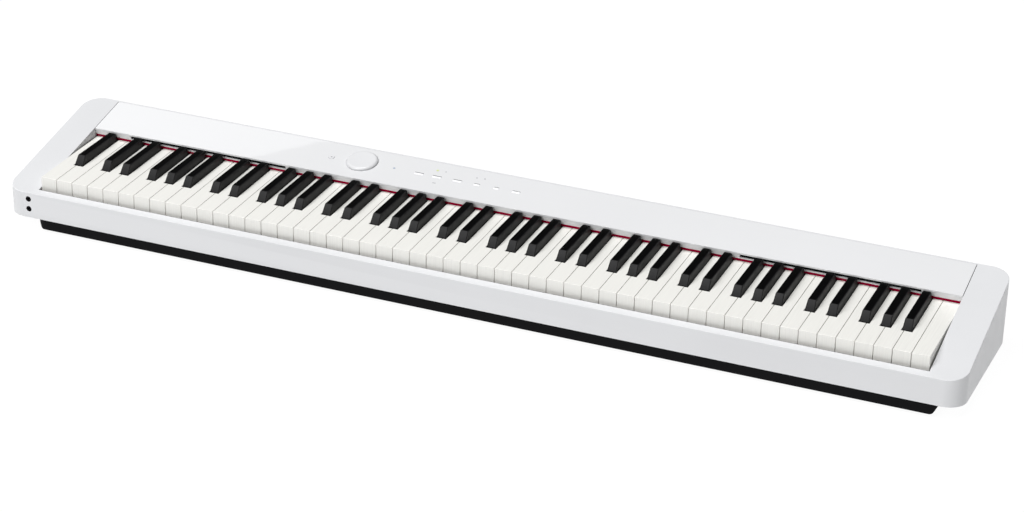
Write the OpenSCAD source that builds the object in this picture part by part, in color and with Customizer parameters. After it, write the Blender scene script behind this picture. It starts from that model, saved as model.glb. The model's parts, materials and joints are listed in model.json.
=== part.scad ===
/* [Case] */
// Overall width of the white case
case_w = 1322; // [1321:1:1326]
// Overall depth of the white case
case_d = 232; // [232:1:236]
// Height of the case at its front edge, above the floor
front_h = 56; // [55.5:0.5:56.5]
// Height of the case at its rear edge, above the floor
back_h = 102; // [101:1:106]
// Radius of the case's corners in plan
corner_r = 26; // [22:1:30]
// Thickness of the moulded shells
wall = 2.5; // [2:0.5:2.5]
// Height of the white shell's lower edge at the front
skirt_front = 19; // [18:0.5:20]
// Height of the white shell's lower edge at the rear
skirt_back = 7.5; // [7:0.5:9]

/* [Keys] */
// Spacing of the white keys
white_pitch = 23.6; // [23.5:0.05:23.6]
// Gap between two white keys
key_gap = 1; // [0.8:0.1:1.2]
// Height of the white key tops above the floor
key_top = 75; // [74.5:0.5:75.5]
// Height of a white key's front face
key_lip = 20; // [19:0.5:20.5]
// How far a white key's front edge goes down
white_dip = 10; // [8:0.5:10]
// How far a black key's front edge goes down
black_dip = 8; // [6:0.5:8]
// Width of a black key at the level of the white tops
black_w = 12.8; // [12.4:0.1:13]
// Width of a black key's top
black_top_w = 11; // [10.6:0.1:11.4]
// Height of a black key above the white tops
black_h = 11.8; // [11:0.1:12]

/* [Controls] */
// Radius of the volume knob
knob_r = 21; // [18:0.5:21.5]
// Height of the volume knob above the panel
knob_h = 3.6; // [3.4:0.2:6]
// Radius of the power button
power_r = 4; // [4:0.5:6]
// Travel of the power button
power_travel = 0.8; // [0.5:0.1:1]

/* [Base] */
// Height of the rubber feet
foot_h = 4; // [4:0.5:5]
// Radius of the rubber feet
foot_r = 11; // [9:0.5:13]

/* [Hidden] */
$fn = 48;
NOTES = ["a", "a_sharp", "b", "c", "c_sharp", "d", "d_sharp", "e", "f", "f_sharp", "g", "g_sharp"];

// Case planes: the sloping top and the sloping lower edge
half_w = case_w / 2;
half_d = case_d / 2;
top_slope = (back_h - front_h) / case_d;
top_tilt = atan(top_slope);
skirt_slope = (skirt_back - skirt_front) / case_d;
far = 200;
function top_z(y) = front_h + top_slope * (y + half_d);
function skirt_z(y) = skirt_front + skirt_slope * (y + half_d);

// Key well
well_half = 615;
well_front = -105.5;
panel_front = 46;
panel_t = 2.2;
panel_back = half_d - wall;
seam = 0.3;
side_seam = 0.7;
lip_low = 44;
fascia_low = 78.4;
slot_low = 82;
slot_x = [[-559, -321], [324, 562]];

// Base tray
base_left = -617.6;
base_right = 632.3;
base_front = -113;
base_back = 113;
base_draft = 7;
base_r = 14;
floor_top = foot_h + 2.5;

// Keyboard: white keys are numbered from the bass end
white_count = 52;
keys_left = -white_count * white_pitch / 2;
key_front = -100;
key_back = 72;
head_back = -48.6;
black_front = -47.5;
black_slope = 9.3;
black_back = 45.9;
notch_half = black_w / 2 + 0.75;
head_wall = 2;
beam_low = 62;
key_skin = 3;
boss_w = 7;
boss_front = 60;
boss_low = 53;

// Pivots of the keys and of the hammers
pivot_y = 66;
pivot_z = 58;
shaft_r = 1.5;
running_gap = 0.05;
hammer_y = -8;
hammer_z = 33;
hammer_w = 6;
white_leg_y = -26;
black_leg_y = -30;
white_leg_low = 44;
black_leg_low = 44.5;

// Key frame
frame_half = 614.8;
frame_left = -609.5;
frame_step = 24;
frame_floor = 14;
frame_t = 2.5;
rib_t = 2.6;
rib_top = 61;
rail_front = 38;
rail_back = 52;
rail_t = 2.5;
felt_t = 2.8;
shelf_z = key_top - key_lip - white_dip - felt_t - 0.1;
contact_z = 48.4;
contact_y = -42;
dome_top = contact_z + 5;
stop_rail_z = 56.6;

// Controls
knob_x = -223.7;
knob_y = 84;
power_x = -268;
button_y = 81.4;
power_y = 81;
touch_xs = [-139, -113, -83, -55, -27, 1.5];
touch_ws = [12.5, 12.5, 12.5, 8, 7, 11];
touch_d = 5;
led_blue = [-176, 83];
led_green = [-117.6, 95.6];
board_low = -8.6;
board_top = -7;
knob_recess = 0.8;

// Rear bay
speaker_x = 441;
speaker_z = 48;
speaker_w = 150;
speaker_h = 62;
plate_half = 116;
plate_low = 18;
plate_high = 44;
jack_z = 30;
dc_x = -92;
usb_x = -52;
pedal_x = 10;
socket_x = 74;
board_z = 21;
jack_front = 95;
jack_face = 112.4;
plate_face = 114.6;
headphone_x = -625.7;
headphone_zs = [46.5, 32];
headphone_r = 4;
plug_r = 1.8;

// Base fixings
screw_xs = [-540, -360, -180, 0, 180, 360, 540];
screw_ys = [-88, 62];
insert_x = 400;
insert_y = 60;
insert_front = -65;
feet_xs = [-560, 0, 560];
feet_y = 88;

// Extrudes a (y, z) outline from x0 to x1
module along_x(x0, x1) {
    translate([x0, 0, 0]) rotate([90, 0, 90]) linear_extrude(x1 - x0) children();
}

// Extrudes an (x, z) outline from y0 to y1
module along_y(y0, y1) {
    translate([0, y1, 0]) rotate([90, 0, 0]) linear_extrude(y1 - y0) children();
}

module block(x0, x1, y0, y1, z0, z1) {
    translate([x0, y0, z0]) cube([x1 - x0, y1 - y0, z1 - z0]);
}

module rod_x(x0, x1, y, z, r) {
    translate([x0, y, z]) rotate([0, 90, 0]) cylinder(h = x1 - x0, r = r);
}

module rod_y(x, y0, y1, z, r) {
    translate([x, y1, z]) rotate([90, 0, 0]) cylinder(h = y1 - y0, r = r);
}

module rounded_plan(x0, x1, y0, y1, r) {
    translate([x0 + r, y0]) square([x1 - x0 - 2 * r, y1 - y0]);
    translate([x0, y0 + r]) square([x1 - x0, y1 - y0 - 2 * r]);
    for (x = [x0 + r, x1 - r], y = [y0 + r, y1 - r]) translate([x, y]) circle(r);
}

// Places children on the sloping panel, with z along its normal
module on_panel(x, y) {
    translate([x, y, top_z(y)]) rotate([top_tilt, 0, 0]) children();
}

// ---- White case ----

module case_solid(inset, drop, lift) {
    intersection() {
        linear_extrude(far)
            rounded_plan(inset - half_w, half_w - inset, inset - half_d, half_d - inset,
                         corner_r - inset);
        along_x(-half_w, half_w) polygon([
            [-far, skirt_z(-far) + lift],
            [far, skirt_z(far) + lift],
            [far, top_z(far) - drop],
            [-far, top_z(-far) - drop]
        ]);
    }
}

module case_hollow() {
    intersection() {
        case_solid(wall, wall, -far);
        block(base_left - seam, base_right + seam, -half_d, half_d, 0, far);
    }
    intersection() {
        case_solid(wall, wall, wall);
        union() {
            block(-half_w, base_left - seam - wall, -half_d, half_d, 0, far);
            block(base_right + seam + wall, half_w, -half_d, half_d, 0, far);
            block(-half_w, half_w, -half_d, half_d, skirt_front + wall, far);
        }
    }
}

module well_walls() {
    for (side = [-1, 1])
        block(min(side * well_half, side * (well_half + wall)),
              max(side * well_half, side * (well_half + wall)),
              well_front - wall, half_d, 28, far);
    block(-well_half - wall, well_half + wall, well_front - wall, well_front, lip_low, far);
}

module panel_ledges() {
    intersection() {
        along_x(-well_half - 1, well_half + 1) polygon([
            [panel_front + 6, top_z(panel_front + 6) - panel_t - 3],
            [panel_back + 1, top_z(panel_back + 1) - panel_t - 3],
            [panel_back + 1, top_z(panel_back + 1) - panel_t - 0.05],
            [panel_front + 6, top_z(panel_front + 6) - panel_t - 0.05]
        ]);
        union() {
            block(-well_half - 1, -well_half + 6, 0, half_d, 0, far);
            block(well_half - 6, well_half + 1, 0, half_d, 0, far);
            block(-well_half - 1, well_half + 1, panel_back - 3, half_d, 0, far);
        }
    }
}

module rear_slots() {
    slot_step = 9;
    for (x = [-speaker_x, speaker_x], i = [-3:3])
        block(x - 68, x + 68, panel_back - 1, half_d + 1,
              speaker_z + i * slot_step - 1.5, speaker_z + i * slot_step + 1.5);
}

module upper_case() {
    color("white") {
        difference() {
            case_solid(0, 0, 0);
            difference() {
                case_hollow();
                well_walls();
            }
            block(-well_half, well_half, well_front, panel_back, -1, far);
            for (z = headphone_zs) rod_y(headphone_x, -half_d - 1, wall - half_d + 1, z, headphone_r + 0.1);
            block(-plate_half - seam, plate_half + seam, panel_back - 1, half_d + 1,
                  plate_low - seam, plate_high + seam);
            rear_slots();
        }
        panel_ledges();
    }
}

module panel_slab(y0, y1, x_half, top_drop, thick) {
    along_x(-x_half, x_half) polygon([
        [y0, top_z(y0) - top_drop - thick],
        [y1, top_z(y1) - top_drop - thick],
        [y1, top_z(y1) - top_drop],
        [y0, top_z(y0) - top_drop]
    ]);
}

module control_panel() {
    color("whitesmoke")
        difference() {
            panel_slab(panel_front, panel_back - seam, well_half - side_seam, 0, panel_t);
            on_panel(knob_x, knob_y) {
                translate([0, 0, -knob_recess]) cylinder(h = 5, r = knob_r + 1.5);
                translate([0, 0, -6]) cylinder(h = 8, r = 5);
            }
            on_panel(power_x, power_y) translate([0, 0, -6]) cylinder(h = 8, r = power_r + 0.2);
            for (i = [0:len(touch_xs) - 1])
                on_panel(touch_xs[i], button_y)
                    translate([-touch_ws[i] / 2 - 0.1, -touch_d / 2 - 0.1, -6])
                        cube([touch_ws[i] + 0.2, touch_d + 0.2, 8]);
            for (p = [led_blue, led_green])
                on_panel(p[0], p[1]) translate([0, 0, -6]) cylinder(h = 8, r = 1.7);
        }
}

// White strip below the panel's front edge, with a long sound slot at each end
module fascia() {
    top = top_z(panel_front) - panel_t;
    foot_y = 49.6;
    color("white")
        difference() {
            along_x(seam - well_half, well_half - seam) polygon([
                [panel_front + 0.3, top],
                [foot_y, fascia_low],
                [foot_y + 12, fascia_low],
                [foot_y + 12, fascia_low + 1.6],
                [foot_y + 1.8, fascia_low + 1.6],
                [panel_front + 2.4, top]
            ]);
            for (s = slot_x) block(s[0], s[1], 0, 55, slot_low, top + 1);
        }
}

module felt_strip() {
    color("darkred") block(-well_half + 0.5, well_half - 0.5, 49.4, 56, key_top + 0.4, fascia_low);
}

// ---- Controls ----

module volume_knob() {
    color("white")
        on_panel(knob_x, knob_y)
            difference() {
                union() {
                    rotate_extrude($fn = 96) polygon([
                        [0, -0.4], [knob_r, -0.4], [knob_r, knob_h - 0.8],
                        [knob_r - 0.8, knob_h], [0, knob_h]
                    ]);
                    translate([0, 0, -2]) cylinder(h = 2, r = 4.6);
                }
                translate([0, 0, -3]) cylinder(h = 6, r = 3);
            }
}

module volume_shaft() {
    color("silver") on_panel(knob_x, knob_y) translate([0, 0, -6.6]) cylinder(h = 9.6, r = 3);
}

module volume_pot() {
    color("dimgray")
        on_panel(knob_x, knob_y)
            difference() {
                translate([-8, -8, board_top]) cube([16, 16, 4]);
                translate([0, 0, board_top + 0.35]) cylinder(h = 5, r = 3 + running_gap);
            }
}

module power_button() {
    color("white")
        on_panel(power_x, power_y) {
            translate([0, 0, -2]) cylinder(h = 2.5, r = power_r);
            translate([0, 0, -3.6]) cylinder(h = 2, r = 1.5);
        }
}

module power_switch() {
    color("dimgray")
        on_panel(power_x, power_y)
            translate([-3, -3, board_top]) cube([6, 6, 3.2 - power_travel]);
}

module touch_marks() {
    color("lightgray")
        for (i = [0:len(touch_xs) - 1])
            on_panel(touch_xs[i], button_y)
                translate([-touch_ws[i] / 2, -touch_d / 2, board_top])
                    cube([touch_ws[i], touch_d, -board_top + 0.1]);
}

module status_leds() {
    for (p = [led_blue, led_green])
        color(p == led_blue ? "royalblue" : "yellowgreen")
            on_panel(p[0], p[1]) translate([0, 0, board_top]) cylinder(h = 0.1 - board_top, r = 1.6);
}

module panel_board() {
    color("darkgreen")
        along_x(-290, 24) {
            y0 = 70;
            y1 = 104;
            drop = -board_top / cos(top_tilt);
            thick = (board_top - board_low) / cos(top_tilt);
            polygon([
                [y0, top_z(y0) - drop - thick],
                [y1, top_z(y1) - drop - thick],
                [y1, top_z(y1) - drop],
                [y0, top_z(y0) - drop]
            ]);
        }
}

// ---- Base ----

module base_solid(inset, z_low, z_rise) {
    intersection() {
        translate([0, 0, z_low])
            linear_extrude(far)
                rounded_plan(base_left + inset, base_right - inset, base_front + inset,
                             base_back - inset, base_r - inset);
        along_y(-far, far) polygon([
            [base_left + base_draft + inset - 0.6, foot_h + 2.8],
            [base_left + base_draft + inset + 1, foot_h + 0.8],
            [base_left + base_draft + inset + 3.6, foot_h],
            [base_right - base_draft - inset - 3.6, foot_h],
            [base_right - base_draft - inset - 1, foot_h + 0.8],
            [base_right - base_draft - inset + 0.6, foot_h + 2.8],
            [base_right - inset, skirt_front],
            [base_right - inset, far],
            [base_left + inset, far],
            [base_left + inset, skirt_front]
        ]);
        along_x(base_left, base_right) polygon([
            [-far, 0], [far, 0], [far, skirt_z(far) + z_rise], [-far, skirt_z(-far) + z_rise]
        ]);
    }
}

module insert_places() {
    for (x = [-insert_x, insert_x], y = [insert_front, insert_y]) translate([x, y, 0]) children();
}

module screw_places() {
    for (x = screw_xs, y = screw_ys) translate([x, y, 0]) children();
}

module bottom_chassis() {
    color("black")
        difference() {
            union() {
                difference() {
                    base_solid(0, foot_h, 4.5);
                    base_solid(wall, floor_top, far);
                }
                insert_places() translate([0, 0, floor_top - 1]) cylinder(h = 7.5, r = 7);
                screw_places()
                    translate([0, 0, floor_top - 1]) cylinder(h = frame_floor - floor_top + 1, r = 5);
            }
            insert_places() translate([0, 0, foot_h - 1]) cylinder(h = 12, r = 4.5);
            screw_places() {
                translate([0, 0, foot_h - 1]) cylinder(h = 20, r = 1.7);
                translate([0, 0, foot_h - 1]) cylinder(h = 3.4, r = 3.4);
            }
        }
}

module rubber_feet() {
    color("dimgray")
        for (x = feet_xs, y = [-feet_y, feet_y])
            translate([x, y, 0])
                rotate_extrude() polygon([
                    [0, 0], [foot_r - 1, 0], [foot_r, 1], [foot_r, foot_h], [0, foot_h]
                ]);
}

// Threaded inserts that take the bolts of a stand
module stand_inserts() {
    color("goldenrod")
        insert_places()
            translate([0, 0, foot_h])
                difference() {
                    cylinder(h = 9, r = 4.5);
                    translate([0, 0, -1]) cylinder(h = 9, r = 2.5);
                }
}

module case_screws() {
    color("silver")
        screw_places() {
            translate([0, 0, foot_h + 0.4]) cylinder(h = 2, r = 3);
            translate([0, 0, foot_h + 2.3]) cylinder(h = frame_floor - foot_h, r = 1.5);
        }
}

// ---- Keyboard layout ----

function note_of_white(i) = [0, 2, 3, 5, 7, 8, 10][i % 7];
function white_x(i) = keys_left + i * white_pitch;
// Shift of a black key from the gap between its two white keys: three tails and two
// black keys share C to E evenly, and four tails and three black keys share F to B
function black_shift(note) =
    note == 4 ? -0.1 * white_pitch :
    note == 6 ? 0.1 * white_pitch :
    note == 9 ? -white_pitch / 7 :
    note == 1 ? white_pitch / 7 : 0;
// A black key stands at the right of white key i when the note after it is a sharp
function has_black(i) =
    i >= 0 && i < white_count - 1 && (note_of_white(i) + 1) % 12 != note_of_white(i + 1);
function black_x(i) = white_x(i + 1) + black_shift((note_of_white(i) + 1) % 12);
function tail_left(i) = has_black(i - 1) ? black_x(i - 1) + notch_half : white_x(i) + key_gap / 2;
function tail_right(i) = has_black(i) ? black_x(i) - notch_half : white_x(i + 1) - key_gap / 2;
function tail_x(i) = (tail_left(i) + tail_right(i)) / 2;
function whites_of(note) = [for (i = [0:white_count - 1]) if (note_of_white(i) == note) i];
function blacks_of(note) =
    [for (i = [0:white_count - 2]) if (has_black(i) && (note_of_white(i) + 1) % 12 == note) i];
function is_sharp(note) = len(whites_of(note)) == 0;
// Middle line of every key of one note, where its boss, leg and hammer are
function lines_of(note) =
    is_sharp(note) ? [for (i = blacks_of(note)) black_x(i)] : [for (i = whites_of(note)) tail_x(i)];

module key_boss(x) {
    difference() {
        block(x - boss_w / 2, x + boss_w / 2, boss_front, key_back, boss_low, beam_low + 4);
        rod_x(x - boss_w, x + boss_w, pivot_y, pivot_z, shaft_r + running_gap);
    }
}

module key_leg(x, y, z_low) {
    block(x - 2, x + 2, y - 1.5, y + 1.5, z_low, key_top - key_skin + 0.5);
}

// Finger that closes the contact below a key whose front, at y, goes down by dip
module key_plunger(x, y, dip) {
    drop = dip * (pivot_y - contact_y) / (pivot_y - y);
    block(x - 1.5, x + 1.5, contact_y - 1.5, contact_y + 1.5,
          dome_top + 0.3 + drop, key_top - key_skin + 0.5);
}

module white_key(i) {
    x0 = white_x(i) + key_gap / 2;
    x1 = white_x(i + 1) - key_gap / 2;
    mid = (x0 + x1) / 2;
    skin_low = key_top - key_skin;
    difference() {
        union() {
            block(x0, x1, key_front, head_back, key_top - key_lip, key_top);
            block(tail_left(i), tail_right(i), head_back - 1, key_back, beam_low, key_top);
        }
        block(x0 + head_wall, x1 - head_wall, key_front + head_wall, head_back - head_wall,
              key_top - key_lip - 1, skin_low);
        block(tail_left(i) + head_wall, tail_right(i) - head_wall, head_back + head_wall,
              boss_front - head_wall, beam_low - 1, skin_low);
    }
    for (side = [-1, 1])
        block(mid + side * 3.2 - 0.8, mid + side * 3.2 + 0.8, -86, -76,
              key_top - key_lip + 1, skin_low + 0.5);
    key_boss(tail_x(i));
    key_leg(tail_x(i), white_leg_y, white_leg_low);
    key_plunger(tail_x(i), key_front, white_dip);
}

module black_key(i) {
    x = black_x(i);
    half = black_w / 2;
    half_top = black_top_w / 2;
    low = 60;
    difference() {
        union() {
            block(x - half, x + half, black_front, rail_front - 4, low, key_top);
            block(x - half, x + half, rail_front - 5, black_back, beam_low, key_top);
            block(x - half, x + half, black_back - 1, key_back, beam_low, key_top - 0.2);
            intersection() {
                along_x(x - half, x + half) polygon([
                    [black_front, key_top - 1], [black_back, key_top - 1],
                    [black_back, key_top + black_h - 1],
                    [black_front + black_slope, key_top + black_h], [black_front, key_top]
                ]);
                along_y(black_front - 1, black_back + 1) polygon([
                    [x - half, key_top - 1], [x + half, key_top - 1], [x + half, key_top],
                    [x + half_top, key_top + black_h], [x - half_top, key_top + black_h],
                    [x - half, key_top]
                ]);
            }
        }
        block(x - half + head_wall, x + half - head_wall, black_front + 2.5,
              boss_front - head_wall, low - 1, key_top - key_skin);
    }
    key_boss(x);
    key_leg(x, black_leg_y, black_leg_low);
    key_plunger(x, black_front, black_dip);
}

module note_keys(name) {
    note = search([name], NOTES)[0];
    if (is_sharp(note))
        color("black") for (i = blacks_of(note)) black_key(i);
    else
        color("ivory") for (i = whites_of(note)) white_key(i);
}

// Weighted lever below each key, lifted at its rear when the key goes down
module hammer(x) {
    difference() {
        along_x(x - hammer_w / 2, x + hammer_w / 2) polygon([
            [-34, 44.4], [-22, 42.5], [-8, 38], [0, 33], [28, 31], [30, 34], [56, 34],
            [56, 20], [30, 20], [26, 26], [-4, 28.5], [-12, 29], [-34, 40]
        ]);
        rod_x(x - hammer_w, x + hammer_w, hammer_y, hammer_z, shaft_r + running_gap);
    }
}

module note_hammers(name) {
    note = search([name], NOTES)[0];
    color("slategray") for (x = lines_of(note)) hammer(x);
}

// ---- Key frame ----

// Middle lines of the ribs: the two ends and each gap between B and C
rib_lines = concat(
    [keys_left], [for (i = [2:7:white_count - 1]) white_x(i)], [-keys_left]
);

module key_frame() {
    color("gainsboro") {
        difference() {
            union() {
                block(-frame_half, frame_half, -98, 76.5, frame_floor, frame_floor + frame_t);
                block(-frame_half, frame_half, -98, -95.5, frame_floor, shelf_z);
                block(-frame_half, frame_half, -98, -87, shelf_z - frame_t, shelf_z);
                block(-frame_half, frame_half, -47.5, -45, frame_floor, contact_z);
                block(-frame_half, frame_half, -47.5, -35.5, contact_z - frame_t, contact_z);
                block(-frame_half, frame_half, 74, 76.5, frame_floor, 60);
                block(-frame_half, frame_half, 68, 76.5, 48, 50.5);
                block(-frame_half, frame_half, rail_front, rail_back, stop_rail_z, stop_rail_z + rail_t);
                for (x = rib_lines)
                    along_x(x - rib_t / 2, x + rib_t / 2) polygon([
                        [-47.5, frame_floor], [74.5, frame_floor], [74.5, rib_top], [58, rib_top],
                        [36, stop_rail_z + rail_t],
                        [20, 46], [0, 40], [-16, 40], [-35, contact_z - 1], [-47.5, contact_z - 1]
                    ]);
                for (i = [0:white_count - 1])
                    block(white_x(i + 0.5) - 1.6, white_x(i + 0.5) + 1.6, -84, -78, frame_floor, 61.5);
            }
            for (x = rib_lines) {
                rod_x(x - rib_t, x + rib_t, pivot_y, pivot_z, shaft_r + running_gap);
                rod_x(x - rib_t, x + rib_t, hammer_y, hammer_z, shaft_r + running_gap);
            }
            screw_places() translate([0, 0, frame_floor - 1]) cylinder(h = 5, r = 1.5);
            // Clears the base tray's side, which slopes inwards at the bass end
            block(-frame_half - 1, frame_left, -100, 80, frame_floor - 1, frame_step);
        }
    }
}

module key_shaft() {
    color("silver") rod_x(-frame_half, frame_half, pivot_y, pivot_z, shaft_r);
}

module hammer_shaft() {
    color("silver") rod_x(-frame_half, frame_half, hammer_y, hammer_z, shaft_r);
}

module key_down_felt() {
    color("firebrick") block(-612, 612, -97, -88, shelf_z, shelf_z + felt_t);
}

// Strips of felt between the ribs
module felt_between_ribs(y0, y1, z0, z1) {
    for (i = [0:len(rib_lines) - 2])
        block(max(rib_lines[i] + rib_t / 2 + 0.2, z0 < frame_step ? frame_left + 0.2 : -frame_half),
              rib_lines[i + 1] - rib_t / 2 - 0.2, y0, y1, z0, z1);
}

module key_rest_felt() {
    color("firebrick") felt_between_ribs(68.5, 72.5, 50.5, boss_low);
}

// Felts that the hammers lie on at rest and strike at the end of their stroke
module hammer_felts() {
    color("firebrick") {
        felt_between_ribs(36, 52, frame_floor + frame_t, 20);
        felt_between_ribs(38.5, 51.5, 53.8, stop_rail_z);
    }
}

module contact_board() {
    color("darkgreen") block(-frame_half, frame_half, -47.5, -35.5, contact_z, contact_z + 1.6);
}

module contact_rubber() {
    color("gray") {
        base = contact_z + 1.6;
        block(-612, 612, contact_y - 4, contact_y + 4, base, base + 1);
        for (note = [0:11], x = lines_of(note))
            translate([x, contact_y, base]) cylinder(h = dome_top - base, r = 2.6, $fn = 24);
    }
}

// ---- Rear bay ----

module main_board() {
    color("darkgreen") {
        block(-130, 130, 78, 111, board_z - 1.6, board_z);
        for (x = [-112, 112], y = [81, 90]) block(x - 3, x + 3, y - 3, y + 3, floor_top, board_z - 1);
    }
    color("black") {
        block(-40, -16, 79, 93, board_z - 0.2, board_z + 2);
        block(0, 16, 79, 93, board_z - 0.2, board_z + 2);
        block(40, 70, 79, 91, board_z - 0.2, board_z + 8);
    }
}

module panel_ribbon() {
    color("lightgray") {
        low = board_z;
        y = 100;
        high = top_z(y) + (board_low - 0.4) / cos(top_tilt);
        block(-38, -18, y - 0.2, y + 0.2, low, high);
    }
}

module speaker_leads() {
    lead_y = 84;
    lead_z = board_z - 0.8;
    color("crimson")
        for (side = [-1, 1]) {
            end = side * speaker_x;
            rod_x(min(side * 130, end), max(side * 130, end), lead_y, lead_z, 0.8);
            translate([end, lead_y, lead_z]) sphere(0.8, $fn = 24);
            translate([end, lead_y, lead_z]) cylinder(h = speaker_z - 22.3 - lead_z, r = 0.8);
        }
}

module oval(w, h) {
    square([w - h, h], center = true);
    for (side = [-1, 1]) translate([side * (w - h) / 2, 0]) circle(h / 2);
}

// Lays children on the speaker's axis, with z towards the rear
module speaker_places() {
    for (x = [-speaker_x, speaker_x])
        translate([x, 0, speaker_z]) rotate([-90, 0, 0]) children();
}

module funnel(w, h, z_wide, r, z_narrow) {
    hull() {
        translate([0, 0, z_wide]) linear_extrude(0.1) oval(w, h, $fn = 32);
        translate([0, 0, z_narrow]) cylinder(h = 0.1, r = r, $fn = 32);
    }
}

module speaker_baskets() {
    color("dimgray")
        speaker_places() {
            translate([0, 0, panel_back - 2.2])
                linear_extrude(2.2)
                    difference() {
                        oval(speaker_w, speaker_h);
                        oval(speaker_w - 10, speaker_h - 10);
                    }
            difference() {
                funnel(speaker_w - 8, speaker_h - 8, panel_back - 2.2, 23, 93);
                funnel(speaker_w - 11, speaker_h - 11, panel_back - 2, 21, 94.5);
                translate([0, 0, 92]) cylinder(h = 4, r = 11.2);
            }
        }
}

module speaker_cones() {
    color("black")
        speaker_places() {
            difference() {
                funnel(speaker_w - 18, speaker_h - 14, panel_back - 3, 16, 97);
                funnel(speaker_w - 20, speaker_h - 16, panel_back - 2.6, 14, 98);
            }
            translate([0, 0, 97]) cylinder(h = 3, r = 13);
        }
}

module speaker_magnets() {
    color("gray")
        speaker_places() {
            translate([0, 0, 79]) cylinder(h = 14, r = 22);
            translate([0, 0, 94.6]) cylinder(h = 2.4, r = 12);
            translate([0, 0, 92]) cylinder(h = 3, r = 11);
        }
}

module headphone_jacks() {
    color("black")
        for (z = headphone_zs)
            difference() {
                union() {
                    block(headphone_x - 6, headphone_x + 6,
                          wall - half_d, wall - half_d + 20, z - 6, z + 6);
                    rod_y(headphone_x, 0.4 - half_d, wall - half_d + 1, z, headphone_r);
                }
                rod_y(headphone_x, -half_d - 1, wall - half_d + 15, z, plug_r);
            }
}

module jack_body(x, w, h) {
    block(x - w / 2, x + w / 2, jack_front, jack_face, board_z, board_z + h);
}

module jack_plate() {
    color("black")
        difference() {
            block(-plate_half, plate_half, jack_face, plate_face, plate_low, plate_high);
            rod_y(dc_x, jack_face - 1, half_d, jack_z, 4.7);
            rod_y(pedal_x, jack_face - 1, half_d, jack_z, 5.2);
            block(usb_x - 6.2, usb_x + 6.2, jack_face - 1, half_d, jack_z - 5.7, jack_z + 5.7);
            block(socket_x - 12.2, socket_x + 12.2, jack_face - 1, half_d, jack_z - 6.7, jack_z + 6.7);
        }
}

module dc_inlet() {
    color("black")
        difference() {
            union() {
                jack_body(dc_x, 14, 14);
                rod_y(dc_x, jack_face - 1, plate_face, jack_z, 4.5);
            }
            rod_y(dc_x, jack_front + 5, half_d, jack_z, 2.8);
        }
    color("silver") rod_y(dc_x, jack_front + 4, jack_face, jack_z, 0.95);
}

module usb_port() {
    color("silver")
        difference() {
            block(usb_x - 6, usb_x + 6, jack_front, plate_face, jack_z - 5.5, jack_z + 5.5);
            block(usb_x - 4.3, usb_x + 4.3, jack_front + 6, half_d, jack_z - 4, jack_z + 4);
        }
    color("black") {
        block(usb_x - 6, usb_x + 6, jack_front, jack_face - 2, board_z, jack_z - 5.4);
        block(usb_x - 2.8, usb_x + 2.8, jack_front + 5, plate_face - 2, jack_z - 1.6, jack_z + 1.6);
    }
}

module pedal_jack() {
    color("black")
        difference() {
            union() {
                jack_body(pedal_x, 16, 17);
                rod_y(pedal_x, jack_face - 1, plate_face, jack_z, 5);
            }
            rod_y(pedal_x, 97, half_d, jack_z, 3.2);
        }
}

module pedal_socket() {
    color("black")
        difference() {
            union() {
                jack_body(socket_x, 26, 16);
                block(socket_x - 12, socket_x + 12,
                      jack_face - 1, plate_face, jack_z - 6.5, jack_z + 6.5);
            }
            block(socket_x - 9, socket_x + 9, 102, half_d, jack_z - 4, jack_z + 4);
        }
    color("gold")
        for (i = [-3:3])
            block(socket_x + 2 * i - 0.5, socket_x + 2 * i + 0.5,
                  101, 111, jack_z + 3.6, jack_z + 4.2);
}

note_keys("a");  // a_keys
note_keys("a_sharp");  // a_sharp_keys
note_keys("b");  // b_keys
note_keys("c");  // c_keys
note_keys("c_sharp");  // c_sharp_keys
note_keys("d");  // d_keys
note_keys("d_sharp");  // d_sharp_keys
note_keys("e");  // e_keys
note_keys("f");  // f_keys
note_keys("f_sharp");  // f_sharp_keys
note_keys("g");  // g_keys
note_keys("g_sharp");  // g_sharp_keys
note_hammers("a");  // a_hammers
note_hammers("a_sharp");  // a_sharp_hammers
note_hammers("b");  // b_hammers
note_hammers("c");  // c_hammers
note_hammers("c_sharp");  // c_sharp_hammers
note_hammers("d");  // d_hammers
note_hammers("d_sharp");  // d_sharp_hammers
note_hammers("e");  // e_hammers
note_hammers("f");  // f_hammers
note_hammers("f_sharp");  // f_sharp_hammers
note_hammers("g");  // g_hammers
note_hammers("g_sharp");  // g_sharp_hammers
upper_case();
control_panel();
fascia();
felt_strip();
volume_knob();
volume_shaft();
volume_pot();
power_button();
power_switch();
touch_marks();
status_leds();
panel_board();
bottom_chassis();
rubber_feet();
stand_inserts();
case_screws();
key_frame();
key_shaft();
hammer_shaft();
key_down_felt();
key_rest_felt();
hammer_felts();
contact_board();
contact_rubber();
main_board();
panel_ribbon();
speaker_baskets();
speaker_cones();
speaker_magnets();
headphone_jacks();
jack_plate();
dc_inlet();
usb_port();
pedal_jack();
pedal_socket();
speaker_leads();
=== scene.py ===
import json
import math

import bmesh
import bpy
from mathutils import Matrix, Vector


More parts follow.
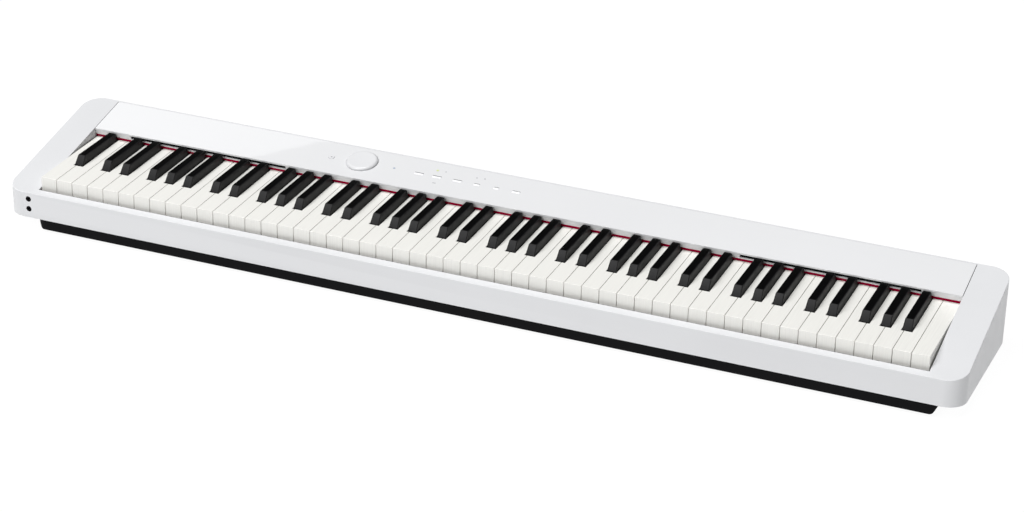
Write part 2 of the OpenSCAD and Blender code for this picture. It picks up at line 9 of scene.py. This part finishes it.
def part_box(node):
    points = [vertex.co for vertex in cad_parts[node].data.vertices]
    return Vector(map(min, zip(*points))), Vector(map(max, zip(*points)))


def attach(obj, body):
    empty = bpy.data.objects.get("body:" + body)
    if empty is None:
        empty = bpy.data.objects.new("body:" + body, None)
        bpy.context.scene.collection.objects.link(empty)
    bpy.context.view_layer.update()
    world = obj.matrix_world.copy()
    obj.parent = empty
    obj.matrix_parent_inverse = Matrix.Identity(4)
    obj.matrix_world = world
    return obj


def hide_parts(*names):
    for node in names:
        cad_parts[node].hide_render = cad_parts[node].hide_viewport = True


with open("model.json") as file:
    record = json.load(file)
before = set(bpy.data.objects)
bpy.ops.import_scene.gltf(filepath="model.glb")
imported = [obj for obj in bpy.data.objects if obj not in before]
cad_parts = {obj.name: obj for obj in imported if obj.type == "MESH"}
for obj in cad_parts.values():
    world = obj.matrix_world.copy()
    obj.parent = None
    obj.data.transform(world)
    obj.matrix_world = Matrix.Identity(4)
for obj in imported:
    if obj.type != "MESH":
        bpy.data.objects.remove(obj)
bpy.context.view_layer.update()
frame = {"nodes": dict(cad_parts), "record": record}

MM = 0.001
WHITE_PITCH = 23.6 * MM
WHITE_KEYS = 52
NOTES = ["a", "a_sharp", "b", "c", "c_sharp", "d", "d_sharp", "e", "f", "f_sharp", "g", "g_sharp"]
KEY_NODES = [note + "_keys" for note in NOTES]
NODES = frame["nodes"]
BODY_OF = {n: b for b, ns in frame["record"]["behaviour"]["bodies"].items() for n in ns}
SLOT_OF = {s["node"]: s["material_slot"] for s in frame["record"]["subparts"]}
JOINT = {j["name"]: j for j in frame["record"]["behaviour"]["joints"]}


# ---- Camera ----

CAMERA_AT = Vector((1.2483, -3.01805, 1.65841))
CAMERA_YAW = math.radians(21.974)
CAMERA_PITCH = math.radians(26.386)
CAMERA_ROLL = math.radians(1.139)
LENS_MM = 98.17
SENSOR_MM = 36.0


def add_camera():
    data = bpy.data.cameras.new("camera")
    data.lens = LENS_MM
    data.sensor_width = SENSOR_MM
    data.sensor_fit = "HORIZONTAL"
    data.clip_end = 100
    camera = bpy.data.objects.new("camera", data)
    turn = (
        Matrix.Rotation(CAMERA_YAW, 4, "Z")
        @ Matrix.Rotation(math.pi / 2 - CAMERA_PITCH, 4, "X")
        @ Matrix.Rotation(CAMERA_ROLL, 4, "Z")
    )
    camera.matrix_world = Matrix.Translation(CAMERA_AT) @ turn
    bpy.context.scene.collection.objects.link(camera)
    bpy.context.scene.camera = camera


# ---- Node helpers ----


class Tree:
    """A material's node tree, with short calls for the nodes used here."""

    def __init__(self, name):
        self.material = bpy.data.materials.new(name)
        self.material.use_nodes = True
        self.nodes = self.material.node_tree.nodes
        self.links = self.material.node_tree.links
        self.shader = self.nodes["Principled BSDF"]
        self.place = self.nodes.new("ShaderNodeTexCoord").outputs["Object"]

    def link(self, source, target):
        self.links.new(source, target)

    def stretched(self, scale):
        node = self.nodes.new("ShaderNodeMapping")
        node.inputs["Scale"].default_value = scale
        self.link(self.place, node.inputs["Vector"])
        return node.outputs["Vector"]

    def noise(self, scale, detail=3.0, stretch=None, roughness=0.5):
        node = self.nodes.new("ShaderNodeTexNoise")
        node.inputs["Scale"].default_value = scale
        node.inputs["Detail"].default_value = detail
        node.inputs["Roughness"].default_value = roughness
        self.link(self.stretched(stretch) if stretch else self.place, node.inputs["Vector"])
        return node.outputs["Fac"]

    def cells(self, scale):
        node = self.nodes.new("ShaderNodeTexVoronoi")
        node.inputs["Scale"].default_value = scale
        self.link(self.place, node.inputs["Vector"])
        return node.outputs["Distance"]

    def axis(self, name):
        """X, Y or Z of the surface in the row's frame, in metres."""
        node = self.nodes.new("ShaderNodeSeparateXYZ")
        self.link(self.place, node.inputs["Vector"])
        return node.outputs[name]

    def wave(self, scale, direction):
        node = self.nodes.new("ShaderNodeTexWave")
        node.inputs["Scale"].default_value = scale
        node.bands_direction = direction
        self.link(self.place, node.inputs["Vector"])
        return node.outputs["Fac"]

    def ranged(self, value, low, high, from_low=0.3, from_high=0.7):
        node = self.nodes.new("ShaderNodeMapRange")
        node.inputs["From Min"].default_value = from_low
        node.inputs["From Max"].default_value = from_high
        node.inputs["To Min"].default_value = low
        node.inputs["To Max"].default_value = high
        self.link(value, node.inputs["Value"])
        return node.outputs["Result"]

    def blend(self, share, first, second):
        node = self.nodes.new("ShaderNodeMix")
        node.data_type = "RGBA"
        colours = [s for s in node.inputs if s.type == "RGBA"]
        for socket, value in zip(colours, (first, second)):
            if isinstance(value, tuple):
                socket.default_value = (*value, 1)
            else:
                self.link(value, socket)
        self.link(share, node.inputs["Factor"])
        return [s for s in node.outputs if s.type == "RGBA"][0]

    def edge_share(self, low=0.51, high=0.56):
        node = self.nodes.new("ShaderNodeNewGeometry")
        return self.ranged(node.outputs["Pointiness"], 0, 1, low, high)

    def bump(self, height, depth_mm, strength=1.0, after=None):
        node = self.nodes.new("ShaderNodeBump")
        node.inputs["Strength"].default_value = strength
        node.inputs["Distance"].default_value = depth_mm * MM
        self.link(height, node.inputs["Height"])
        if after is not None:
            self.link(after, node.inputs["Normal"])
        return node.outputs["Normal"]

    def finish(self, colour=None, roughness=None, normal=None, **settings):
        for value, name in ((colour, "Base Color"), (roughness, "Roughness"), (normal, "Normal")):
            if value is not None:
                self.link(value, self.shader.inputs[name])
        for name, value in settings.items():
            self.shader.inputs[name.replace("_", " ")].default_value = value
        return self.material


def shade(colour, by):
    return tuple(min(1.0, c * by) for c in colour)


# ---- Materials ----


def moulded_plastic(name, colour, rough, grain=1400, depth=0.012, variety=0.03, **settings):
    """Moulded plastic: fine spark-eroded grain, faint clouding, a slightly lighter colour on its sharp
    edges.
    """
    t = Tree(name)
    cloud = t.noise(5, 3)
    tint = t.blend(t.ranged(cloud, 0, 1), shade(colour, 1 - variety), shade(colour, 1 + variety))
    edge_lightened = t.blend(t.edge_share(), tint, shade(colour, 1.06))
    roughness = t.ranged(t.noise(60, 4), rough - 0.05, rough + 0.06)
    normal = t.bump(t.noise(grain, 2), depth)
    return t.finish(edge_lightened, roughness, normal, **settings)


def gloss_plastic(name, colour, rough, **settings):
    """Polished plastic: smooth, with a faint orange peel and fine handling haze."""
    t = Tree(name)
    tint = t.blend(t.ranged(t.noise(4, 2), 0, 1), shade(colour, 0.99), shade(colour, 1.01))
    haze = t.ranged(t.noise(30, 5, roughness=0.65), rough - 0.02, rough + 0.05)
    normal = t.bump(t.noise(90, 2), 0.01, 0.35)
    return t.finish(tint, haze, normal, **settings)


def ivory_key(name):
    """White key: warm white with fine lengthwise lines that show on the top and the front."""
    t = Tree(name)
    warm = (0.9, 0.893, 0.854)
    lines = t.noise(1, 4, (900, 14, 14), 0.6)
    tint = t.blend(t.ranged(lines, 0, 1, 0.35, 0.65), shade(warm, 0.95), shade(warm, 1.03))
    tint = t.blend(t.ranged(t.noise(9, 2), 0, 0.6), tint, warm)
    roughness = t.ranged(lines, 0.36, 0.5)
    normal = t.bump(lines, 0.02, 0.6)
    return t.finish(tint, roughness, normal)


def ebony_top(name):
    """Black key top: satin, with short lengthwise pores; its colour is painted far darker than the
    sides', a painted dark reflection.
    """
    t = Tree(name)
    pores = t.noise(1, 5, (1500, 60, 200), 0.65)
    tint = t.blend(t.ranged(pores, 0, 1), (0.0004, 0.0004, 0.0005), (0.002, 0.002, 0.0022))
    roughness = t.ranged(pores, 0.26, 0.38)
    return t.finish(tint, roughness, t.bump(pores, 0.02, 0.5), Specular_IOR_Level=0.03)


def ebony_side(name, white_top):
    """Black key sides, slope and edges: satin, painted lighter than the top as a painted highlight,
    and painted darker down between the keys as painted shade.
    """
    t = Tree(name)
    flow = t.noise(1, 3, (160, 30, 160))
    tint = t.blend(t.ranged(flow, 0, 1), (0.015, 0.015, 0.0156), (0.025, 0.025, 0.0258))
    # Painted shade: the sides darken towards the white keys' tops, where shade falls between the keys
    low = t.ranged(t.axis("Z"), 0.7, 0, white_top + 0.001, white_top + 0.009)
    tint = t.blend(low, tint, (0.003, 0.003, 0.0032))
    roughness = t.ranged(flow, 0.42, 0.56)
    return t.finish(tint, roughness, t.bump(t.noise(700, 4), 0.02), Specular_IOR_Level=0.16)


def felt(name, colour):
    """Pressed wool felt: matted fibres with lighter fuzz."""
    t = Tree(name)
    fibres = t.noise(2600, 6, None, 0.75)
    clumps = t.noise(350, 4)
    tint = t.blend(t.ranged(fibres, 0, 1), shade(colour, 0.6), shade(colour, 1.5))
    tint = t.blend(t.ranged(clumps, 0, 0.5), tint, shade(colour, 0.8))
    normal = t.bump(fibres, 0.15, 0.9)
    return t.finish(tint, t.ranged(clumps, 0.88, 0.98), normal, Specular_IOR_Level=0.04)


def turned_metal(name, colour, rough, stretch=(40, 900, 900), metallic=1.0):
    """Drawn or ground metal, with fine lines along its length and a little tarnish."""
    t = Tree(name)
    lines = t.noise(1, 4, stretch, 0.6)
    stain = t.noise(25, 5)
    tint = t.blend(t.ranged(stain, 0, 1), shade(colour, 0.85), shade(colour, 1.05))
    roughness = t.ranged(lines, rough - 0.08, rough + 0.1)
    return t.finish(tint, roughness, t.bump(lines, 0.01, 0.5), Metallic=metallic)


def rubber(name, colour):
    """Moulded rubber: matte, with a dusty bloom."""
    t = Tree(name)
    bloom = t.noise(40, 5, None, 0.65)
    tint = t.blend(t.ranged(bloom, 0, 1), colour, shade(colour, 1.7))
    return t.finish(tint, t.ranged(bloom, 0.72, 0.9), t.bump(t.noise(900, 3), 0.04, 0.6))


def board(name):
    """Circuit board: solder mask over copper areas, with small scattered pads."""
    t = Tree(name)
    areas = t.ranged(t.cells(55), 0, 1, 0.42, 0.46)
    mask = t.blend(areas, (0.012, 0.1, 0.04), (0.02, 0.15, 0.06))
    pads = t.ranged(t.cells(420), 1, 0, 0.1, 0.16)
    colour = t.blend(pads, mask, (0.6, 0.55, 0.4))
    return t.finish(colour, t.ranged(t.noise(50, 3), 0.3, 0.45), t.bump(areas, 0.05))


def paper_cone(name):
    """Pressed paper of a loudspeaker cone."""
    t = Tree(name)
    pulp = t.noise(900, 6, None, 0.7)
    tint = t.blend(t.ranged(pulp, 0, 1), (0.012, 0.012, 0.012), (0.04, 0.04, 0.038))
    return t.finish(tint, t.ranged(pulp, 0.8, 0.95), t.bump(pulp, 0.1, 0.8))


def grille_cloth(name):
    """Black acoustic cloth: a fine open weave."""
    t = Tree(name)
    weave = t.nodes.new("ShaderNodeMath")
    weave.operation = "MULTIPLY"
    t.link(t.wave(420, "X"), weave.inputs[0])
    t.link(t.wave(420, "Z"), weave.inputs[1])
    tint = t.blend(weave.outputs["Value"], (0.002, 0.002, 0.002), (0.012, 0.012, 0.012))
    rough = t.ranged(t.noise(200, 3), 0.85, 0.95)
    return t.finish(tint, rough, t.bump(weave.outputs["Value"], 0.1), Specular_IOR_Level=0.1)


def touch_print(name, middle):
    """Touch marks: a dark grey line along the rear; in front of it a bright strip that glows faintly,
    a painted highlight for the lit front of each mark.
    """
    t = Tree(name)
    speckle = t.ranged(t.noise(500, 3), 0, 1)
    dark = t.blend(speckle, (0.14, 0.142, 0.15), (0.2, 0.202, 0.21))
    painted_highlight = t.blend(speckle, (0.9, 0.905, 0.92), (0.95, 0.955, 0.97))
    rear = t.ranged(t.axis("Y"), 0, 1, middle + 0.0003, middle + 0.0006)
    # The front strip glows faintly: painted light, not a lamp
    t.link(t.ranged(rear, 0.14, 0, 0, 1), t.shader.inputs["Emission Strength"])
    tint = t.blend(rear, painted_highlight, dark)
    return t.finish(
        tint, t.ranged(t.noise(80, 3), 0.25, 0.4), t.bump(t.noise(900, 2), 0.005),
        Emission_Color=(1, 1, 1, 1),
    )


def indicator_lens(name, middle):
    """Indicator lenses: a pale blue one on the bass side, a pale yellow-green one on the other."""
    t = Tree(name)
    core = t.ranged(t.noise(400, 2), 0, 1)
    blue = t.blend(core, (0.36, 0.42, 0.52), (0.42, 0.48, 0.58))
    green = t.blend(core, (0.6, 0.68, 0.28), (0.66, 0.74, 0.34))
    tint = t.blend(t.ranged(t.axis("X"), 0, 1, middle - 0.001, middle + 0.001), blue, green)
    t.link(tint, t.shader.inputs["Emission Color"])
    return t.finish(
        tint, t.ranged(t.noise(200, 2), 0.15, 0.25), t.bump(t.noise(1500, 2), 0.004),
        Emission_Strength=0.12,
    )


def ceramic_magnet(name):
    """Ferrite and plated iron: dark, slightly gritty."""
    t = Tree(name)
    grit = t.noise(700, 5, None, 0.7)
    tint = t.blend(t.ranged(grit, 0, 1), (0.05, 0.05, 0.052), (0.12, 0.12, 0.125))
    return t.finish(tint, t.ranged(grit, 0.5, 0.75), t.bump(grit, 0.05), Metallic=0.4)


def middle(node):
    low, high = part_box(node)
    return (low + high) / 2


def make_materials():
    white = (0.718, 0.724, 0.739)
    white_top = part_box("a_keys")[1].z
    return {
        "white_case": moulded_plastic("satin_white", white, 0.36, Specular_IOR_Level=0.15),
        "gloss_panel": gloss_plastic(
            "polished_white", (0.815, 0.82, 0.833), 0.04, Specular_IOR_Level=0.1, Coat_Weight=1.0,
            Coat_Roughness=0.01,
        ),
        "white_button": gloss_plastic("button_white", (0.78, 0.785, 0.8), 0.28),
        # The fascia is painted 12% lighter than the case: painted light that makes up for the shade
        # below the panel's edge
        "fascia_white": moulded_plastic("fascia_white", shade(white, 1.12), 0.36),
        "key_white": ivory_key("key_ivory"),
        "key_black": ebony_side("key_ebony_side", white_top),
        "key_black_top": ebony_top("key_ebony_top"),
        "hammer_metal": turned_metal("hammer_steel", (0.42, 0.42, 0.43), 0.4),
        "black_base": moulded_plastic(
            "base_black", (0.006, 0.006, 0.0068), 0.6, 1000, 0.03, 0.15, Specular_IOR_Level=0.06
        ),
        "foot_rubber": rubber("foot_rubber", (0.02, 0.02, 0.02)),
        "red_felt": felt("felt_red", (0.3, 0.0008, 0.028)),
        "steel": turned_metal("ground_steel", (0.62, 0.62, 0.63), 0.28),
        "magnet_iron": ceramic_magnet("magnet_ferrite"),
        "brass_insert": turned_metal("brass", (0.78, 0.55, 0.22), 0.3, (900, 900, 60)),
        "frame_plastic": moulded_plastic("frame_grey", (0.3, 0.31, 0.32), 0.55, 700, 0.03, 0.06),
        "circuit_board": board("board_green"),
        "contact_rubber": rubber("contact_silicone", (0.12, 0.12, 0.125)),
        "cable_sleeve": rubber("cable_sleeve", (0.3, 0.3, 0.31)),
        "speaker_cone": paper_cone("cone_paper"),
        "touch_print": touch_print("touch_print", middle("touch_marks").y),
        "led_lens": indicator_lens("led_lens", middle("status_leds").x),
        "cloth": grille_cloth("grille_cloth"),
        "print_grey": moulded_plastic("print_grey", (0.38, 0.383, 0.395), 0.4, 900, 0.004),
    }


# ---- Meshes ----


def link(name, mesh, materials, node=None):
    obj = bpy.data.objects.new(name, mesh)
    for material in materials:
        mesh.materials.append(material)
    bpy.context.scene.collection.objects.link(obj)
    if node:
        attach(obj, BODY_OF[node])
    return obj


def cleaned(node):
    """A bmesh of a CAD node with its flat faces joined into polygons."""
    bm = bmesh.new()
    bm.from_mesh(NODES[node].data)
    bmesh.ops.remove_doubles(bm, verts=bm.verts, dist=1e-6)
    bmesh.ops.dissolve_limit(
        bm, angle_limit=math.radians(0.6), verts=bm.verts, edges=bm.edges,
        delimit={"NORMAL"},
    )
    bm.normal_update()
    return bm


def sharp_edges(bm, test, least=30):
    limit = math.radians(least)
    return [
        e for e in bm.edges
        if len(e.link_faces) == 2
        and e.is_convex
        and e.calc_face_angle(0) > limit
        and test(e.verts[0].co, e.verts[1].co)
    ]


def round_off(bm, edges, radius_mm, segments=3):
    if edges:
        bmesh.ops.bevel(
            bm, geom=edges, offset=radius_mm * MM, offset_type="OFFSET", segments=segments,
            profile=0.5, affect="EDGES", clamp_overlap=False,
        )


def smooth_mesh(bm, name, limit=38):
    """Writes the bmesh to a mesh, smooth but for its sharp edges."""
    bm.normal_update()
    for face in bm.faces:
        face.smooth = True
    for edge in bm.edges:
        edge.smooth = len(edge.link_faces) == 2 and edge.calc_face_angle(0) < math.radians(limit)
    mesh = bpy.data.meshes.new(name)
    bm.to_mesh(mesh)
    bm.free()
    return mesh


def weighted(obj):
    normals = obj.modifiers.new("even_normals", "WEIGHTED_NORMAL")
    normals.keep_sharp = True
    return obj


def shaped(node, bm, materials, limit=38):
    """The finished piece that stands in for a CAD node."""
    name = node + "_shaped"
    obj = link(name, smooth_mesh(bm, name, limit), materials, node)
    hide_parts(node)
    return weighted(obj)


def lathe(bm, profile, place, count=96):
    """Turns an (r, z, material) profile, in mm, about Z; both ends of it lie on the axis."""
    rings = []
    for r, z, _ in profile:
        angles = [2 * math.pi * k / count for k in range(count)] if r > 0 else [0]
        rings.append([
            bm.verts.new(place @ Vector((r * MM * math.cos(a), r * MM * math.sin(a), z * MM)))
            for a in angles
        ])
    for i in range(len(rings) - 1):
        inner, outer = rings[i], rings[i + 1]
        for k in range(count):
            here, there = k, (k + 1) % count
            corners = [
                inner[here % len(inner)], outer[here % len(outer)],
                outer[there % len(outer)], inner[there % len(inner)],
            ]
            face = bm.faces.new(list(dict.fromkeys(corners)))
            face.material_index = profile[i][2]
    bmesh.ops.recalc_face_normals(bm, faces=bm.faces)


def slab(bm, outline, thick, place, material):
    """A thin closed plate: an outline in mm, raised along Z by thick."""
    low = [bm.verts.new(place @ Vector((x * MM, y * MM, 0))) for x, y in outline]
    high = [bm.verts.new(place @ Vector((x * MM, y * MM, thick * MM))) for x, y in outline]
    count = len(outline)
    sides = [[low[k], low[(k + 1) % count], high[(k + 1) % count], high[k]] for k in range(count)]
    for corners in [low[::-1], high] + sides:
        bm.faces.new(corners).material_index = material


def ring_points(width, depth, corner, steps=4):
    """A rounded rectangle's outline in mm; a disc where the corner is half its width."""
    points = []
    for turn, sx, sy in ((0, 1, 1), (90, -1, 1), (180, -1, -1), (270, 1, -1)):
        for k in range(steps + 1):
            a = math.radians(turn + 90 * k / steps)
            points.append((
                sx * (width / 2 - corner) + corner * math.cos(a),
                sy * (depth / 2 - corner) + corner * math.sin(a),
            ))
    return points


def narrow_gaps(bm, by_mm=0.15):
    """Widens white keys a little on both sides, so that the gaps between them look as fine
    as they do between moulded keys with crisp edges."""
    half_gap = 0.5 * MM
    close = 0.03 * MM
    for v in bm.verts:
        along = (v.co.x + WHITE_KEYS / 2 * WHITE_PITCH) % WHITE_PITCH
        if abs(along - half_gap) < close:
            v.co.x -= by_mm * MM
        elif abs(along - WHITE_PITCH + half_gap) < close:
            v.co.x += by_mm * MM


def key_piece(node, is_black):
    """All keys of one note, with rounded edges. Black keys get a pored top painted darker than their
    sides and rounding, which are painted lighter: painted shade and painted highlight.
    """
    bm = cleaned(node)
    low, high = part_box(node)
    white_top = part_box("a_keys")[1].z
    small = 0.05 * MM
    if is_black:
        edges = sharp_edges(bm, lambda a, b: min(a.z, b.z) > white_top - small, 20)
        round_off(bm, edges, 1.3, 4)
        bm.normal_update()
        # Painted shade and highlight: flat tops take the far darker top colour, sides and rounded
        # edges the lighter side colour
        for face in bm.faces:
            flat_top = face.normal.z > 0.97 and face.calc_center_median().z > white_top + small
            face.material_index = 1 if flat_top else 0
        return shaped(node, bm, [MAT["key_black"], MAT["key_black_top"]])

    narrow_gaps(bm)

    top_zone = 1.4 * MM
    nose_height = 22 * MM

    def wanted(a, b):
        on_top = min(a.z, b.z) > high.z - top_zone
        on_nose = max(a.y, b.y) < low.y + small and min(a.z, b.z) > white_top - nose_height
        return on_top or on_nose

    round_off(bm, sharp_edges(bm, wanted), 0.4, 3)
    return shaped(node, bm, [MAT["key_white"]])


# Stands a (y, z) outline upright, so that it is raised along X
UPRIGHT = Matrix.Rotation(math.pi / 2, 4, "Z") @ Matrix.Rotation(math.pi / 2, 4, "X")


# ---- The piano ----

MAT = make_materials()
add_camera()

for node, obj in NODES.items():
    obj.data.materials.clear()
    obj.data.materials.append(MAT[SLOT_OF[node]])

for node in KEY_NODES:
    key_piece(node, "sharp" in node)

case_low, case_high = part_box("upper_case")
panel_low, panel_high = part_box("control_panel")
case_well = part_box("fascia")[1].x + 0.3 * MM
PANEL_T = 2.2 * MM
CASE_CORNER = 26 * MM
TOP_SLOPE = (panel_high.z - panel_low.z - PANEL_T) / (panel_high.y - panel_low.y)
TOP_TILT = math.atan(TOP_SLOPE)


def top_plane(y):
    """Height of the case's sloping top at y."""
    return panel_high.z + (y - panel_high.y) * TOP_SLOPE


def on_panel(x, y, lift=0.0):
    """The matrix that lays something on the sloping panel."""
    tilt = Matrix.Rotation(TOP_TILT, 4, "X")
    return Matrix.Translation((x, y, top_plane(y))) @ tilt @ Matrix.Translation((0, 0, lift * MM))


def on_outline(p):
    """True on the case's outer wall, in plan."""
    inside = 1.0 * MM
    dx = abs(p.x) - (case_high.x - CASE_CORNER)
    dy = abs(p.y) - (case_high.y - CASE_CORNER)
    if dx > 0 and dy > 0:
        return math.hypot(dx, dy) > CASE_CORNER - inside
    return abs(p.x) > case_high.x - inside or abs(p.y) > case_high.y - inside


def at_top(a, b):
    return all(p.z > top_plane(p.y) - 0.3 * MM for p in (a, b))


def outer_edge(a, b):
    """The case's outer edges, along its top and its foot."""
    foot_zone = 12.1 * MM
    at_foot = max(a.z, b.z) < case_low.z + foot_zone
    return on_outline(a) and on_outline(b) and (at_top(a, b) or at_foot)


def inner_edge(a, b):
    return at_top(a, b) and not on_outline(a) and not on_outline(b)


def shape_case():
    bm = cleaned("upper_case")
    round_off(bm, sharp_edges(bm, outer_edge), 1.0, 4)
    round_off(bm, sharp_edges(bm, inner_edge), 0.3, 2)
    shaped("upper_case", bm, [MAT["white_case"]])


def shape_panel():
    """The panel, with a dark sheet in the seam at each of its ends: painted shade for the deep seam.
    """
    seam_shade_top = 0.25
    seam_shade_foot = 2.1
    overlap = 0.02
    bm = cleaned("control_panel")
    round_off(bm, sharp_edges(bm, at_top), 0.2, 2)
    y0, y1 = panel_low.y + 0.4 * MM, panel_high.y
    seam_shade_outline = [(y / MM, top_plane(y) / MM - drop) for y, drop in (
        (y0, seam_shade_foot), (y1, seam_shade_foot), (y1, seam_shade_top), (y0, seam_shade_top)
    )]
    # Painted shade: a dark cloth sheet stands in each end seam, where only shade falls
    for x0 in (panel_high.x, -case_well - overlap * MM):
        place = Matrix.Translation((x0, 0, 0)) @ UPRIGHT
        slab(bm, seam_shade_outline, (case_well - panel_high.x) / MM + overlap, place, 1)
    shaped("control_panel", bm, [MAT["gloss_panel"], MAT["cloth"]], 30)


# Ends of the two sound slots in the fascia, in mm from the middle, and the foot of the slots
SLOTS = ((-559, -321), (324, 562))
SLOT_LOW = 82 * MM


def shape_fascia():
    """The fascia, with its sound slots drawn lower, and acoustic cloth just behind them."""
    bm = cleaned("fascia")
    low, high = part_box("fascia")
    along_slope = Vector((0, 0.66 * MM, -1.6 * MM))
    for v in bm.verts:
        if abs(v.co.z - SLOT_LOW) < 0.05 * MM:
            v.co += along_slope
    foot = Vector((low.y / MM + 5.15, low.z / MM + 1.7))
    head = Vector((low.y / MM + 2.25, high.z / MM - 0.1))
    thick = Vector((0.35, 0))
    sheet = [foot, foot + thick, head + thick, head]
    past_end = 2
    for x0, x1 in SLOTS:
        place = Matrix.Translation(((x0 - past_end) * MM, 0, 0)) @ UPRIGHT
        slab(bm, [tuple(p) for p in sheet], x1 - x0 + 2 * past_end, place, 1)
    shaped("fascia", bm, [MAT["fascia_white"], MAT["cloth"]])


def shape_knob():
    """A low knob with a wide round rim and a slightly dished face."""
    low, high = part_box("volume_knob")
    r = (high.x - low.x) / 2 / MM
    at = Vector(JOINT["volume_turn"]["pos_m"])
    top = 3.6
    rim_inner = r - 3.3
    rim_width = 4.2
    rim = [
        (rim_inner + rim_width * math.cos(a), top * math.sin(a), 0)
        for a in [math.radians(10 * k) for k in range(10)]
    ]
    profile = [(0, -0.4, 0), (r + 0.8, -0.4, 0)] + rim
    profile += [(r - 4.6, top - 0.08, 0), (r - 9, top - 0.25, 0), (0, top - 0.3, 0)]
    bm = bmesh.new()
    lathe(bm, profile, on_panel(at.x, at.y))
    lathe(bm, [(0, -2, 0), (4.6, -2, 0), (4.6, -0.45, 0), (0, -0.45, 0)], on_panel(at.x, at.y), 48)
    shaped("volume_knob", bm, [MAT["white_button"]])


def shape_power_button():
    """A domed button with a small printed dot."""
    low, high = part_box("power_button")
    r = (high.x - low.x) / 2 / MM
    # The wide part reaches from 2 mm below the panel to 0.5 mm above it, so the middle of the
    # box is off the axis
    y = middle("power_button").y - 0.75 * MM * math.sin(TOP_TILT)
    profile = [
        (0, -3.6, 0), (1.5, -3.6, 0), (1.5, -2, 0), (r, -2, 0), (r, 0.1, 0), (r - 0.15, 0.38, 0),
        (r - 0.5, 0.5, 0), (1.2, 0.5, 1), (0.8, 0.46, 1), (0, 0.44, 1),
    ]
    bm = bmesh.new()
    lathe(bm, profile, on_panel(middle("power_button").x, y), 64)
    shaped("power_button", bm, [MAT["white_button"], MAT["print_grey"]])


# Printed marks on the panel: (x, y, width, depth), in mm
PRINTS = ((-110.9, 67.9, 5, 1.3), (-60.5, 95.5, 2.2, 2.2), (-49.4, 96.6, 2.2, 2.2),
          (-105.6, 95.7, 2, 2))


def shape_touch_marks():
    """The touch marks, with the small printed dots and dash beside them."""
    bm = cleaned("touch_marks")
    for x, y, width, depth in PRINTS:
        outline = ring_points(width, depth, depth / 2 - 0.01)
        slab(bm, outline, 0.05, on_panel(x * MM, y * MM, 0.01), 1)
    shaped("touch_marks", bm, [MAT["touch_print"], MAT["print_grey"]])


shape_case()
shape_panel()
shape_fascia()
shape_knob()
shape_power_button()
shape_touch_marks()


# ---- Floor and light ----


def floor_material():
    t = Tree("pale_floor")
    tint = t.blend(t.ranged(t.noise(2, 2), 0, 1), (0.06, 0.06, 0.06), (0.08, 0.08, 0.08))
    return t.finish(
        tint, t.ranged(t.noise(4, 2), 0.85, 0.95), t.bump(t.noise(60, 3), 0.1),
        Specular_IOR_Level=0.1, Emission_Color=(1, 1, 1, 1), Emission_Strength=0.95,
    )


def add_floor():
    half = 12
    bm = bmesh.new()
    bm.faces.new([
        bm.verts.new((half * x, half * y, 0)) for x, y in ((-1, -1), (1, -1), (1, 1), (-1, 1))
    ])
    mesh = bpy.data.meshes.new("floor")
    bm.to_mesh(mesh)
    bm.free()
    link("floor", mesh, [floor_material()])


def add_light(kind, name, matrix):
    data = bpy.data.lights.new(name, kind)
    light = bpy.data.objects.new(name, data)
    light.matrix_world = matrix
    bpy.context.scene.collection.objects.link(light)
    return data


def add_sun(name, azimuth, elevation, strength, spread):
    """A broad light from far away; azimuth 0 is in front of the keys, 90 at the treble end."""
    turn = Matrix.Rotation(math.radians(azimuth), 4, "Z")
    sun = add_light("SUN", name, turn @ Matrix.Rotation(math.radians(90 - elevation), 4, "X"))
    sun.energy = strength
    sun.angle = math.radians(spread)


def add_softbox(name, place, turn, size, power):
    softbox = add_light("AREA", name, Matrix.Translation(place) @ turn)
    softbox.shape = "RECTANGLE"
    softbox.size, softbox.size_y = size
    softbox.energy = power


def add_studio():
    world = bpy.data.worlds.new("studio")
    bpy.context.scene.world = world
    world.use_nodes = True
    world.node_tree.nodes["Background"].inputs["Color"].default_value = (1, 1, 1, 1)
    world.node_tree.nodes["Background"].inputs["Strength"].default_value = 0.1
    add_sun("overhead", -45, 80, 2.18, 34)
    side = Vector((-2.7, -5.75, 5.4))
    add_softbox("side_light", side, (-side).to_track_quat("-Z", "Y").to_matrix().to_4x4(), (3, 3), 305)
    # Its edge shows as the faint slanting boundary across the glossy panel
    add_softbox(
        "rear_card", (-2.182, 2.316, 2.5), Matrix.Rotation(math.radians(38.4), 4, "Z"), (1, 0.75), 2.1
    )


add_floor()
add_studio()
bpy.context.scene.view_settings.view_transform = "Standard"
